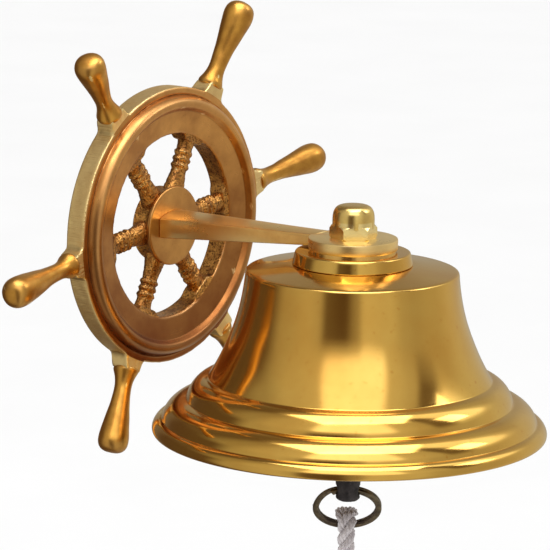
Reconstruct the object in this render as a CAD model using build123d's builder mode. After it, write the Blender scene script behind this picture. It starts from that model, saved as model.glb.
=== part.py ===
from build123d import *
import os
from math import cos, pi, radians, sin, tan

# Ship's bell on a wall bracket made as a small ship's wheel.
# Millimetres. The origin is the centre of the wheel's back, on the wall. +Z is up and
# the bell hangs out from the wall along -Y. "Depth" below is the distance out from the wall.

os.makedirs("parts", exist_ok=True)

# ---------------------------------------------------------------- wheel
RIM_R = 55.0  # outside of the flat rim
RIM_D = 8.5  # rim thickness, wall to front
HOLE_R = 36.5  # open middle of the rim
BEAD_OUT, BEAD_IN = 51.8, 47.0  # the raised moulding, outer and inner radius
BEAD_D = 12.3  # depth of its crest
BAND_R, BAND_D = 45.8, 9.8  # where the inner band starts, just inside the moulding
STEPS = 6  # spokes, and as many handles
TURN = -23.0  # first spoke, anticlockwise from the top as seen from the front
FOOT_R = 34.0  # where a spoke meets the rim's foot
ROOT_R = 18.5  # where it meets the hub's root
SPOKE_D = 4.3  # depth of a spoke's middle
SPOKE_W, SPOKE_T = 8.4, 6.8  # its width and thickness
HUB_R, HUB_D = 15.8, 9.5  # hub disc, and the depth of its face

# ---------------------------------------------------------------- handles
LUG_R = 60.0  # where a handle sits on its lug
LUG_W, LUG_T = 10.4, 8.3
LUG_D = 4.9  # depth of the joint's middle
LEAN = 6.0  # the handles lean off the wall by this angle
HANDLE_AT = (-27.5, 36.5, 97.5, 156.5, 217.0, 279.5)  # each handle's own direction
HANDLE_LONG = (35.5, 30.0, 40.0, 33.5, 35.0, 39.0)  # and length: they are filed by hand
BULB_R = 6.5

# ---------------------------------------------------------------- arm
REACH = 88.0  # bell's axis from the front of the rim
RISE = 4.4  # the arm climbs this much on its way out
ROOT_W, ROOT_H, ROOT_CROWN = 19.4, 7.8, 2.2
NECK_W, NECK_H, NECK_CROWN = 11.6, 4.2, 0.4
EYE_R, EYE_T = 17.2, 4.4

# ---------------------------------------------------------------- bell
LIP_R = 76.2  # a 6 inch mouth
LIP_Z = -70.0  # mouth, below the wheel's centre
SHOULDER_Z = 63.0  # heights above the mouth
TOP_Z = 66.3
CROWN_Z = 63.0  # inside of the crown
COLLAR_Z = 71.4
WASHER_Z = 72.2
EYE_Z = WASHER_Z + EYE_T
BOLT_R = 4.9  # M10
BORE_R = 5.25

# ---------------------------------------------------------------- clapper
CLAPPER_TURN = -53.0  # the clapper's pin and the hole in its tail point this way
EYE_BOLT_Z = 58.2  # middle of the hanger bolt's eye
EYE_BOLT_OUT, EYE_BOLT_IN, EYE_BOLT_T = 5.6, 3.1, 4.4
PIN_Z = 47.4
PIN_R = 2.0
BOW_R = 1.8  # wire of the shackle
BOW_HALF = 5.0  # its legs, from the middle
EAR_T = 3.8  # thickness of its ends
BALL_R, BALL_Z = 16.0, 2.0
TAIL_R, TAIL_END = 4.85, -27.3
TAIL_HOLE_Z, TAIL_HOLE_R = -22.9, 2.4

# ---------------------------------------------------------------- ring and lanyard
RING_OUT, RING_IN, RING_T = 13.45, 11.15, 2.5
RING_SAG = 0.5  # the ring's wire bows by this much inside the tail's hole
RING_TILT = 41.0  # it hangs back towards the wall by this angle
ROPE_R = 3.25
SEIZING_TOP, SEIZING_LOW = -17.5, -26.5
KNOT_TOP, KNOT_R, KNOT_H = -108.0, 7.8, 15.5
TASSEL_R, TASSEL_H = 6.4, 22.0

AXIS_Y = -(RIM_D + REACH)
BELL_AXIS = Axis((0, AXIS_Y, 0), (0, 0, 1))
# radius along x and depth from the wall along y: a section of anything round on the wheel
WHEEL_SECTION = Plane(origin=(0, 0, 0), x_dir=(1, 0, 0), z_dir=(0, 0, -1))
# radius along x and height above the mouth along y: a section of anything round on the bell
BELL_SECTION = Plane(origin=(0, AXIS_Y, LIP_Z), x_dir=(1, 0, 0), z_dir=(0, -1, 0))


def outwards(angle, radius, depth, lean=0.0):
    """A plane on the wheel whose normal points outwards at an angle from the top, and
    whose x runs along the rim. lean tips the normal off the wall."""
    a, t = radians(angle), radians(lean)
    out = Vector(-sin(a) * cos(t), -sin(t), cos(a) * cos(t))
    return Plane(
        origin=(-radius * sin(a), -depth, radius * cos(a)),
        x_dir=(cos(a), 0, sin(a)),
        z_dir=out,
    )


def level(height, turn=0.0):
    """A horizontal plane on the bell's axis, at a height above the mouth."""
    return Plane(
        origin=(0, AXIS_Y, LIP_Z + height),
        x_dir=(cos(radians(turn)), sin(radians(turn)), 0),
        z_dir=(0, 0, 1),
    )


SPOKE_AT = [TURN + 360 / STEPS * k for k in range(STEPS)]

# ================================================================ wheel
# Rim: a flat ring with one raised moulding, six feet for the spokes on the inside and six
# lugs for the handles on the outside. Three blind M5 holes in the back take wall studs.
with BuildPart() as wheel_rim:
    with BuildSketch(WHEEL_SECTION):
        with BuildLine():
            Polyline(
                (BEAD_OUT + 0.5, RIM_D),
                (RIM_R - 0.5, RIM_D),
                (RIM_R, RIM_D - 0.5),
                (RIM_R, 0),
                (HOLE_R, 0),
                (HOLE_R, RIM_D - 0.6),
                (HOLE_R + 0.7, RIM_D + 0.1),
                (BAND_R, BAND_D),
                (BEAD_IN, BEAD_D - 0.8),
            )
            ThreePointArc(
                (BEAD_IN, BEAD_D - 0.8), (BEAD_IN + 0.9, BEAD_D - 0.15), (BEAD_IN + 2.0, BEAD_D)
            )
            ThreePointArc(
                (BEAD_IN + 2.0, BEAD_D), (BEAD_OUT - 1.0, BEAD_D - 1.4), (BEAD_OUT, RIM_D + 0.2)
            )
            Polyline(
                (BEAD_OUT, RIM_D + 0.2), (BEAD_OUT + 0.2, RIM_D - 0.6), (BEAD_OUT + 0.5, RIM_D)
            )
        make_face()
    revolve(axis=Axis.Y)
    for angle in SPOKE_AT:
        with BuildSketch(outwards(angle, HOLE_R + 1.0, SPOKE_D)):
            RectangleRounded(SPOKE_W + 4.6, SPOKE_T + 0.6, 2.4)
        with BuildSketch(outwards(angle, FOOT_R, SPOKE_D)):
            RectangleRounded(SPOKE_W + 0.4, SPOKE_T, 2.4)
        loft()
    for angle in HANDLE_AT:
        seat = outwards(angle, LUG_R, LUG_D, LEAN)
        with BuildSketch(seat):
            RectangleRounded(LUG_W, LUG_T, 1.4)
        with BuildSketch(seat.offset(-7.5)):
            RectangleRounded(LUG_W + 2.6, LUG_T, 1.4)
        loft()
        with Locations(seat):
            Hole(radius=2.5, depth=6.6)
    with Locations(Plane(origin=(0, 0, 0), x_dir=(1, 0, 0), z_dir=(0, 1, 0))):
        with PolarLocations(49.5, 3, start_angle=90):
            Hole(radius=2.1, depth=7.0)
wheel_rim.part.label = "wheel_rim"

# Hub: a rough boss with a smooth round face, bored for the screw that holds the arm.
with BuildPart() as wheel_hub:
    with BuildSketch(WHEEL_SECTION):
        with BuildLine():
            Polyline(
                (0, 0),
                (HUB_R - 0.6, 0),
                (HUB_R - 1.2, 3.0),
                (HUB_R - 1.2, 7.2),
                (HUB_R, 7.9),
                (HUB_R, HUB_D - 0.4),
                (HUB_R - 0.4, HUB_D),
                (0, HUB_D),
                (0, 0),
            )
        make_face()
    revolve(axis=Axis.Y)
    for angle in SPOKE_AT:
        with BuildSketch(outwards(angle, HUB_R - 3.5, SPOKE_D)):
            RectangleRounded(SPOKE_W + 3.2, SPOKE_T - 0.4, 2.4)
        with BuildSketch(outwards(angle, ROOT_R, SPOKE_D)):
            RectangleRounded(SPOKE_W, SPOKE_T - 0.4, 2.4)
        loft()
    with Locations(Plane(origin=(0, 0, 0.8), x_dir=(1, 0, 0), z_dir=(0, 1, 0))):
        CounterSinkHole(radius=3.3, counter_sink_radius=6.4, depth=HUB_D)
wheel_hub.part.label = "wheel_hub"

# Spokes: bars with a rounded section and a pair of turned rings half way out.
spokes = []
for number, angle in enumerate(SPOKE_AT, 1):
    with BuildPart() as spoke:
        with BuildSketch(outwards(angle, ROOT_R, SPOKE_D)):
            RectangleRounded(SPOKE_W - 0.6, SPOKE_T - 0.6, 2.6)
        extrude(amount=FOOT_R - ROOT_R)
        for ring_r in (24.6, 28.2):
            with BuildSketch(outwards(angle, ring_r - 1.2, SPOKE_D)):
                RectangleRounded(SPOKE_W - 0.7, SPOKE_T - 0.7, 2.5)
            with BuildSketch(outwards(angle, ring_r, SPOKE_D)):
                RectangleRounded(SPOKE_W + 0.9, SPOKE_T + 0.9, 3.2)
            with BuildSketch(outwards(angle, ring_r + 1.2, SPOKE_D)):
                RectangleRounded(SPOKE_W - 0.7, SPOKE_T - 0.7, 2.5)
            loft()
    spoke.part.label = f"spoke_{number}"
    spokes.append(spoke.part)

# Handles: turned grips, each with a threaded tenon in its lug.
handles = []
for number, (angle, long) in enumerate(zip(HANDLE_AT, HANDLE_LONG), 1):
    seat = outwards(angle, LUG_R, LUG_D, LEAN)
    section = Plane(origin=seat.origin, x_dir=seat.x_dir, z_dir=-seat.y_dir)
    with BuildPart() as handle:
        with BuildSketch(section):
            with BuildLine():
                Polyline((0, -6.2), (2.1, -6.2), (2.4, -5.8), (2.4, 0), (4.5, 0))
                Spline(
                    (4.5, 0),
                    (4.3, 1.6),
                    (3.3, 5.0),
                    (3.05, 8.0),
                    (4.2, long * 0.48),
                    (5.7, long * 0.66),
                    (BULB_R, long * 0.81),
                    (BULB_R * 0.74, long * 0.955),
                    (0, long),
                    tangents=((0.25, 1), (-1, 0)),
                )
                Line((0, long), (0, -6.2))
            make_face()
        revolve(axis=Axis(seat.origin, seat.z_dir))
    handle.part.label = f"handle_{number}"
    handles.append(handle.part)

# ================================================================ arm
# The arm is a tapered bar with an arched top, ending in a flat round eye.
with BuildPart() as bracket_arm:
    for depth, height, wide, high, crown in (
        (HUB_D, 0.3, ROOT_W, ROOT_H, ROOT_CROWN),
        (RIM_D + REACH - EYE_R + 2.0, RISE, NECK_W, NECK_H, NECK_CROWN),
    ):
        with BuildSketch(Plane(origin=(0, -depth, height), x_dir=(1, 0, 0), z_dir=(0, -1, 0))):
            with BuildLine():
                Polyline(
                    (-wide / 2, high / 2),
                    (-wide / 2, -high / 2),
                    (wide / 2, -high / 2),
                    (wide / 2, high / 2),
                )
                ThreePointArc((wide / 2, high / 2), (0, high / 2 + crown), (-wide / 2, high / 2))
            make_face()
    loft()
    with BuildSketch(BELL_SECTION):
        Polygon(
            (0, WASHER_Z),
            (EYE_R - 0.4, WASHER_Z),
            (EYE_R, WASHER_Z + 0.4),
            (EYE_R, EYE_Z - 0.4),
            (EYE_R - 0.4, EYE_Z),
            (0, EYE_Z),
            align=None,
        )
    revolve(axis=BELL_AXIS)
    with Locations(level(EYE_Z)):
        Hole(radius=BORE_R, depth=EYE_T)
    with Locations(Plane(origin=(0, -HUB_D, 0.8), x_dir=(1, 0, 0), z_dir=(0, 1, 0))):
        Hole(radius=2.55, depth=16.0)
bracket_arm.part.label = "bracket_arm"

# Countersunk M6 screw from the back of the hub into the arm.
with BuildPart() as arm_screw:
    with BuildSketch(WHEEL_SECTION):
        with BuildLine():
            Polyline(
                (0, 0.3),
                (5.9, 0.3),
                (3.0, 3.6),
                (2.5, 4.4),
                (2.5, 22.4),
                (1.9, 23.0),
                (0, 23.0),
                (0, 0.3),
            )
        make_face()
    revolve(axis=Axis.Y)
    with BuildSketch(Plane(origin=(0, -0.3, 0), x_dir=(1, 0, 0), z_dir=(0, -1, 0))):
        RegularPolygon(radius=2.0, side_count=6, major_radius=False)
    extrude(amount=2.2, mode=Mode.SUBTRACT)
arm_screw.part.position += Vector(0, 0, 0.8)
arm_screw.part.label = "arm_screw"

# ================================================================ bell
# Body: three mouldings at the mouth, a waist and a flat shoulder, 4 mm thick.
with BuildPart() as bell_body:
    with BuildSketch(BELL_SECTION):
        with BuildLine():
            Line((BORE_R, TOP_Z), (24.5, TOP_Z))
            Line((24.5, TOP_Z), (39.9, SHOULDER_Z + 1.0))
            ThreePointArc((39.9, SHOULDER_Z + 1.0), (40.85, SHOULDER_Z + 0.5), (41.1, SHOULDER_Z - 0.5))
            Spline(
                (41.1, SHOULDER_Z - 0.5),
                (41.8, 57.0),
                (42.9, 50.0),
                (44.6, 43.5),
                (47.1, 36.8),
                (50.5, 29.0),
                (54.4, 22.3),
                tangents=((0.02, -1), (0.6, -0.8)),
            )
            Line((54.4, 22.3), (54.9, 21.7))
            ThreePointArc((54.9, 21.7), (60.2, 19.0), (63.0, 13.8))
            Line((63.0, 13.8), (63.4, 13.2))
            ThreePointArc((63.4, 13.2), (69.3, 10.7), (72.3, 6.0))
            Line((72.3, 6.0), (72.7, 5.5))
            ThreePointArc((72.7, 5.5), (75.2, 4.0), (LIP_R, 1.4))
            ThreePointArc((LIP_R, 1.4), (75.9, 0.4), (75.0, 0))
            Line((75.0, 0), (71.6, 0))
            Spline(
                (71.6, 0),
                (66.4, 5.6),
                (57.6, 13.6),
                (50.0, 22.0),
                (45.9, 30.0),
                (41.2, 42.0),
                (38.6, 52.0),
                (37.6, CROWN_Z - 4.0),
                tangents=((-0.5, 0.8), (-0.02, 1)),
            )
            ThreePointArc((37.6, CROWN_Z - 4.0), (36.3, CROWN_Z - 1.2), (33.6, CROWN_Z))
            Line((33.6, CROWN_Z), (BORE_R, CROWN_Z))
            Line((BORE_R, CROWN_Z), (BORE_R, TOP_Z))
        make_face()
    revolve(axis=BELL_AXIS)
bell_body.part.label = "bell_body"

# Collar between the bell and the arm, with a thin washer on it.
with BuildPart() as crown_collar:
    with BuildSketch(BELL_SECTION):
        Polygon(
            (BORE_R, TOP_Z),
            (22.9, TOP_Z),
            (23.2, TOP_Z + 0.4),
            (22.1, COLLAR_Z - 0.5),
            (21.6, COLLAR_Z),
            (BORE_R, COLLAR_Z),
            align=None,
        )
    revolve(axis=BELL_AXIS)
crown_collar.part.label = "crown_collar"

with BuildPart() as crown_washer:
    with BuildSketch(level(COLLAR_Z)):
        Circle(EYE_R - 0.7)
        Circle(BORE_R, mode=Mode.SUBTRACT)
    extrude(amount=WASHER_Z - COLLAR_Z)
crown_washer.part.label = "crown_washer"

# Acorn nut: a 16 mm hexagon under a dome with a flattened top.
with BuildPart() as acorn_nut:
    with BuildSketch(level(EYE_Z, 12.0)):
        RegularPolygon(radius=8.0, side_count=6, major_radius=False)
    extrude(amount=12.0)
    with BuildSketch(BELL_SECTION):
        with BuildLine():
            Polyline(
                (0, EYE_Z),
                (9.0, EYE_Z),
                (9.5, EYE_Z + 0.5),
                (9.5, EYE_Z + 4.0),
                (8.2, EYE_Z + 5.0),
                (8.2, EYE_Z + 8.9),
            )
            ThreePointArc((8.2, EYE_Z + 8.9), (7.1, EYE_Z + 11.6), (4.6, EYE_Z + 12.8))
            Polyline((4.6, EYE_Z + 12.8), (0, EYE_Z + 12.8), (0, EYE_Z))
        make_face()
    revolve(axis=BELL_AXIS, mode=Mode.INTERSECT)
    with BuildSketch(BELL_SECTION):
        with BuildLine():
            Polyline((0, EYE_Z + 4.4), (8.2, EYE_Z + 4.4), (8.2, EYE_Z + 8.9))
            ThreePointArc((8.2, EYE_Z + 8.9), (7.1, EYE_Z + 11.6), (4.6, EYE_Z + 12.8))
            Polyline((4.6, EYE_Z + 12.8), (0, EYE_Z + 12.8), (0, EYE_Z + 4.4))
        make_face()
    revolve(axis=BELL_AXIS)
    with Locations(level(EYE_Z, 0)):
        Hole(radius=BOLT_R + 0.05, depth=9.6)
acorn_nut.part.label = "acorn_nut"

# ================================================================ hanger
ALONG = level(0, CLAPPER_TURN)  # x along the clapper's pin, z up
PIN_DIR = ALONG.x_dir
SIDE_DIR = ALONG.y_dir


def across(height, off=0.0, normal=None):
    """An upright plane on the bell's axis, moved off along its own normal. Its normal is
    the pin's direction unless another is given, and its y is up."""
    n = PIN_DIR if normal is None else normal
    base = Vector(0, AXIS_Y, LIP_Z + height) + n * off
    return Plane(origin=base, x_dir=Vector(0, 0, 1).cross(n), z_dir=n)


# Eye bolt: it goes up through the crown, collar and arm into the acorn nut.
with BuildPart() as hanger_bolt:
    with BuildSketch(BELL_SECTION):
        Polygon(
            (0, CROWN_Z - 1.6),
            (9.4, CROWN_Z - 1.6),
            (9.8, CROWN_Z - 1.2),
            (9.8, CROWN_Z),
            (BOLT_R, CROWN_Z),
            (BOLT_R, EYE_Z + 7.9),
            (BOLT_R - 0.8, EYE_Z + 8.8),
            (0, EYE_Z + 8.8),
            align=None,
        )
    revolve(axis=BELL_AXIS)
    with BuildSketch(across(EYE_BOLT_Z, -EYE_BOLT_T / 2)):
        Circle(EYE_BOLT_OUT)
    extrude(amount=EYE_BOLT_T)
    with BuildSketch(level(EYE_BOLT_Z + 3.4, CLAPPER_TURN)):
        Rectangle(EYE_BOLT_T, 8.0)
    extrude(amount=CROWN_Z - 1.0 - EYE_BOLT_Z - 3.4)
    with Locations(across(EYE_BOLT_Z, EYE_BOLT_T / 2)):
        Hole(radius=EYE_BOLT_IN, depth=EYE_BOLT_T)
hanger_bolt.part.label = "hanger_bolt"

# Shackle: a U of wire through the bolt's eye. Its flattened ends carry the pin.
BOW_SAG = BOW_HALF - (BOW_HALF**2 - (EYE_BOLT_T / 2) ** 2) ** 0.5
BOW_TOP = EYE_BOLT_Z - EYE_BOLT_IN + 1.15 * BOW_R + BOW_SAG + 0.25
with BuildPart() as shackle:
    with BuildLine(across(0, 0, SIDE_DIR)) as bow:
        Line((-BOW_HALF, PIN_Z), (-BOW_HALF, BOW_TOP - BOW_HALF))
        ThreePointArc((-BOW_HALF, BOW_TOP - BOW_HALF), (0, BOW_TOP), (BOW_HALF, BOW_TOP - BOW_HALF))
        Line((BOW_HALF, BOW_TOP - BOW_HALF), (BOW_HALF, PIN_Z))
    with BuildSketch(Plane(origin=bow.wires()[0] @ 0, z_dir=bow.wires()[0] % 0)):
        Circle(BOW_R)
    sweep()
    for side in (-1, 1):
        with BuildSketch(across(PIN_Z, side * BOW_HALF - EAR_T / 2)):
            Circle(4.0)
        extrude(amount=EAR_T)
    with Locations(across(PIN_Z, BOW_HALF + 2.0)):
        Hole(radius=PIN_R + 0.02, depth=2 * BOW_HALF + 4.0)
shackle.part.label = "shackle"

# Pin of the shackle, with a head at each end.
with BuildPart() as shackle_pin:
    with BuildSketch(across(PIN_Z, -BOW_HALF - EAR_T / 2)):
        Circle(PIN_R)
    extrude(amount=2 * BOW_HALF + EAR_T)
    for start in (-BOW_HALF - EAR_T / 2 - 1.4, BOW_HALF + EAR_T / 2):
        with BuildSketch(across(PIN_Z, start)):
            Circle(3.2)
        extrude(amount=1.4)
    chamfer(shackle_pin.edges().filter_by(GeomType.CIRCLE).filter_by(lambda e: e.radius > 3), 0.3)
shackle_pin.part.label = "shackle_pin"

# ================================================================ clapper
# Rod: a flat eye on the shackle's pin, a tapered stem, and a round tail below the mouth.
with BuildPart() as clapper_rod:
    with BuildSketch(BELL_SECTION):
        with BuildLine():
            Polyline(
                (0, PIN_Z - 5.0),
                (2.6, PIN_Z - 5.0),
                (3.4, 22.0),
                (3.6, BALL_Z + 10),
                (3.6, BALL_Z - 10),
            )
            Line((3.6, BALL_Z - 10), (TAIL_R, BALL_Z - 12.5))
            Line((TAIL_R, BALL_Z - 12.5), (TAIL_R, TAIL_END + 2.2))
            ThreePointArc((TAIL_R, TAIL_END + 2.2), (3.9, TAIL_END + 0.8), (0, TAIL_END))
            Line((0, TAIL_END), (0, PIN_Z - 5.0))
        make_face()
    revolve(axis=BELL_AXIS)
    with BuildSketch(across(PIN_Z, -2.0)):
        Circle(4.2)
        with Locations((0, -4.0)):
            Rectangle(5.6, 5.0)
    extrude(amount=4.0)
    with Locations(across(PIN_Z, 2.0)):
        Hole(radius=PIN_R + 0.08, depth=4.0)
    with Locations(across(TAIL_HOLE_Z, 6.0)):
        Hole(radius=TAIL_HOLE_R, depth=12.0)
clapper_rod.part.label = "clapper_rod"

# Ball of the clapper, bored for the rod.
with BuildPart() as clapper_ball:
    with Locations(level(BALL_Z)):
        Sphere(BALL_R)
    with BuildSketch(BELL_SECTION):
        Polygon(
            (0, BALL_Z + BALL_R + 1),
            (3.6, BALL_Z + BALL_R + 1),
            (3.6, BALL_Z - 10),
            (TAIL_R, BALL_Z - 12.5),
            (TAIL_R, BALL_Z - BALL_R - 1),
            (0, BALL_Z - BALL_R - 1),
            align=None,
        )
    revolve(axis=BELL_AXIS, mode=Mode.SUBTRACT)
clapper_ball.part.label = "clapper_ball"

# ================================================================ split ring
# The ring's own plane: x along the hole in the tail, y up the ring. It hangs back from the
# upright by RING_TILT.
DOWN = Vector(0, 0, -1) * cos(radians(RING_TILT)) + SIDE_DIR * sin(radians(RING_TILT))
TAIL_HOLE = Vector(0, AXIS_Y, LIP_Z + TAIL_HOLE_Z)
RING_MEAN = (RING_OUT + RING_IN) / 2
RING_PLANE = Plane(
    origin=TAIL_HOLE + DOWN * (RING_MEAN - RING_SAG), x_dir=PIN_DIR, z_dir=PIN_DIR.cross(-DOWN)
)
with BuildPart() as split_ring:
    with BuildSketch(RING_PLANE.offset(-RING_T / 2)):
        Circle(RING_OUT)
        Circle(RING_IN, mode=Mode.SUBTRACT)
    extrude(amount=RING_T)
    chamfer(split_ring.edges(), 0.35)
    # the seam between the ring's two turns
    with BuildSketch(RING_PLANE.offset(-0.12)):
        Circle(RING_OUT + 1)
        Circle(RING_OUT - 0.3, mode=Mode.SUBTRACT)
    extrude(amount=0.24, mode=Mode.SUBTRACT)
split_ring.part.label = "split_ring"

# ================================================================ lanyard
# Everything on the lanyard is placed from the ring's lowest wire, in the upright plane
# through the bell's axis that is square to the ring's hinge.
RING_FOOT = TAIL_HOLE + DOWN * (2 * RING_MEAN - RING_SAG)
HANG = Plane(origin=RING_FOOT, x_dir=SIDE_DIR, z_dir=SIDE_DIR.cross(Vector(0, 0, 1)))
# Route of the rope: its short end, up the back of the eye, over the ring's wire, down the
# front, through the seizing and down to the knot.
ROPE_ROUTE = [
    (3.5, -30.0),
    (3.9, -18.8),
    (6.5, -8.0),
    (6.3, 4.9),
    (-6.3, 4.9),
    (-6.5, -8.0),
    (-3.9, -18.8),
    (-3.5, -30.0),
    (-1.3, -45.0),
    (0.6, -65.0),
    (0.0, -86.0),
    (0.0, KNOT_TOP),
]


def bend_radii(points):
    """The radius at each corner of a cord's route: 0.45 of the shorter run, divided by the
    tangent of half the turn."""
    found = []
    for a, b, c in zip(points, points[1:], points[2:]):
        one, two = Vector(*b) - Vector(*a), Vector(*c) - Vector(*b)
        half = radians(one.get_angle(two)) / 2
        found.append(0.45 * min(one.length, two.length) / tan(half))
    return found


ROPE_RADII = bend_radii(ROPE_ROUTE)
print("rope radii, mm:", [round(r, 1) for r in ROPE_RADII])
with BuildPart() as lanyard_rope:
    with BuildLine(HANG) as route:
        FilletPolyline(*ROPE_ROUTE, radius=ROPE_RADII)
    with BuildSketch(Plane(origin=route.wires()[0] @ 0, z_dir=route.wires()[0] % 0)):
        Circle(ROPE_R)
    sweep()
ROPE_LONG = route.wires()[0].length
print(
    "rope length", round(ROPE_LONG, 1),
    "volume over section times length", round(lanyard_rope.part.volume / (pi * ROPE_R**2 * ROPE_LONG), 4),
)
lanyard_rope.part.label = "lanyard_rope"

# Seizing: twine wound round both legs of the eye.
with BuildPart() as lanyard_seizing:
    with BuildSketch(Plane(origin=RING_FOOT, x_dir=SIDE_DIR, z_dir=(0, 0, 1)).offset(SEIZING_LOW)):
        SlotOverall(2 * (4.35 + ROPE_R + 1.0), 2 * (ROPE_R + 1.15))
        SlotOverall(2 * (4.35 + ROPE_R), 2 * (ROPE_R + 0.15), mode=Mode.SUBTRACT)
    extrude(amount=SEIZING_TOP - SEIZING_LOW)
lanyard_seizing.part.label = "lanyard_seizing"

# Knot at the end of the rope, and the loosened strands below it.
KNOT_SECTION = Plane(origin=RING_FOOT, x_dir=SIDE_DIR, z_dir=SIDE_DIR.cross(Vector(0, 0, 1)))
HANG_AXIS = Axis(RING_FOOT, (0, 0, 1))
with BuildPart() as lanyard_knot:
    with BuildSketch(KNOT_SECTION):
        with BuildLine():
            Line((0, KNOT_TOP), (4.4, KNOT_TOP))
            ThreePointArc((4.4, KNOT_TOP), (KNOT_R, KNOT_TOP - KNOT_H / 2), (4.4, KNOT_TOP - KNOT_H))
            Polyline((4.4, KNOT_TOP - KNOT_H), (0, KNOT_TOP - KNOT_H), (0, KNOT_TOP))
        make_face()
    revolve(axis=HANG_AXIS)
lanyard_knot.part.label = "lanyard_knot"

with BuildPart() as lanyard_tassel:
    with BuildSketch(KNOT_SECTION):
        Polygon(
            (0, KNOT_TOP - KNOT_H),
            (3.6, KNOT_TOP - KNOT_H),
            (5.4, KNOT_TOP - KNOT_H - 8),
            (TASSEL_R, KNOT_TOP - KNOT_H - TASSEL_H),
            (0, KNOT_TOP - KNOT_H - TASSEL_H),
            align=None,
        )
    revolve(axis=HANG_AXIS)
lanyard_tassel.part.label = "lanyard_tassel"

for piece in [
    wheel_rim.part,
    wheel_hub.part,
    *spokes,
    *handles,
    bracket_arm.part,
    arm_screw.part,
    bell_body.part,
    crown_collar.part,
    crown_washer.part,
    acorn_nut.part,
    hanger_bolt.part,
    shackle.part,
    shackle_pin.part,
    clapper_rod.part,
    clapper_ball.part,
    split_ring.part,
    lanyard_rope.part,
    lanyard_seizing.part,
    lanyard_knot.part,
    lanyard_tassel.part,
]:
    export_step(piece, f"parts/{piece.label}.step")
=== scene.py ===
import math
import random

import bmesh
import bpy
from mathutils import Matrix, Vector


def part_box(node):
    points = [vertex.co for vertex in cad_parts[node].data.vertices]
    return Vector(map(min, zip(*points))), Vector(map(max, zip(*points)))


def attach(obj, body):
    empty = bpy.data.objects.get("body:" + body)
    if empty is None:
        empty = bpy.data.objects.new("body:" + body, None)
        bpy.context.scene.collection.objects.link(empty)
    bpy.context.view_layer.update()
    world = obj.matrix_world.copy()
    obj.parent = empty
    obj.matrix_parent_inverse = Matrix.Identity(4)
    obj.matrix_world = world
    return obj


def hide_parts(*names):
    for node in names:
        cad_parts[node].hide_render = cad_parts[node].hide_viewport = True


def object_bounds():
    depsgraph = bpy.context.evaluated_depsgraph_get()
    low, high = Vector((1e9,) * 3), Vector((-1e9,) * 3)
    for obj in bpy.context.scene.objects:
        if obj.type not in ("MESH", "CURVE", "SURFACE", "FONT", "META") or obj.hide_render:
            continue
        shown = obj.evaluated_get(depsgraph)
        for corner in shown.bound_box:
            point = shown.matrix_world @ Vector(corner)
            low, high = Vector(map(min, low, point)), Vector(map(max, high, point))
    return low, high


# A wall-mounted ship's bell. Metres; +Z up, the wall is the plane y = 0 and the bell hangs
# out from it along -Y. Sizes in the lists below are in millimetres.
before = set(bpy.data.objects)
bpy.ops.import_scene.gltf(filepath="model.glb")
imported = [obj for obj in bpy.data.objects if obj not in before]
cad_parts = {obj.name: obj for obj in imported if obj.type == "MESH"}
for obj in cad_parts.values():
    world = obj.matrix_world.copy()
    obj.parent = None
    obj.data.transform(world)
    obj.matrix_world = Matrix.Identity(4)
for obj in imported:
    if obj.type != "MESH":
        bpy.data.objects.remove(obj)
CAD_LO, CAD_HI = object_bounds()
MM = 0.001
UP, OUT, SIDE_X = Vector((0, 0, 1)), Vector((0, -1, 0)), Vector((1, 0, 0))
RAD = math.radians


def middle(node):
    lo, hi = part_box(node)
    return (lo + hi) / 2


# ---------------------------------------------------------------- places
bell_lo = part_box("bell_body")[0]
MOUTH = Vector((middle("bell_body").x, middle("bell_body").y, bell_lo.z))
HUB = Vector((middle("wheel_hub").x, 0, middle("wheel_hub").z))
SEAT = (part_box("acorn_nut")[0].z - MOUTH.z) / MM  # the nut's seat above the mouth
PIN_TURN = RAD(-53)  # the clapper's pin, from +X
PIN_DIR = Vector((math.cos(PIN_TURN), math.sin(PIN_TURN), 0))
SIDE_DIR = UP.cross(PIN_DIR)
TILT = RAD(41)  # the ring hangs back by this
DOWN = SIDE_DIR * math.sin(TILT) - UP * math.cos(TILT)
RING_MEAN = 12.3
RING = middle("split_ring")
RING_FOOT = RING + DOWN * RING_MEAN * MM


# ---------------------------------------------------------------- hand tools
def deselect():
    if bpy.context.object and bpy.context.object.mode != "OBJECT":
        bpy.ops.object.mode_set(mode="OBJECT")
    bpy.ops.object.select_all(action="DESELECT")


def take(piece):
    deselect()
    bpy.context.view_layer.objects.active = piece
    piece.select_set(True)
    return piece


def primitive(kind, name, **settings):
    deselect()
    getattr(bpy.ops.mesh, f"primitive_{kind}_add")(**settings)
    piece = bpy.context.object
    piece.name = piece.data.name = name
    return piece


def settle(piece):
    """The piece's object goes to the origin, with its place in its mesh."""
    take(piece)
    bpy.ops.object.transform_apply(location=True, rotation=True, scale=True)
    return piece


def close_up(piece, gap=1e-6):
    """Points in one place are merged, and the faces turned outward."""
    take(piece)
    bpy.ops.object.mode_set(mode="EDIT")
    bpy.ops.mesh.select_all(action="SELECT")
    bpy.ops.mesh.remove_doubles(threshold=gap)
    bpy.ops.mesh.normals_make_consistent(inside=False)
    bpy.ops.object.mode_set(mode="OBJECT")
    return piece


def modify(piece, kind, **settings):
    """A modifier, set and applied."""
    take(piece)
    step = piece.modifiers.new(kind.title(), kind)
    for key, value in settings.items():
        setattr(step, key, value)
    bpy.ops.object.modifier_apply(modifier=step.name)
    return piece


def soften(piece, levels):
    return modify(piece, "SUBSURF", levels=levels, render_levels=levels)


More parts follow.
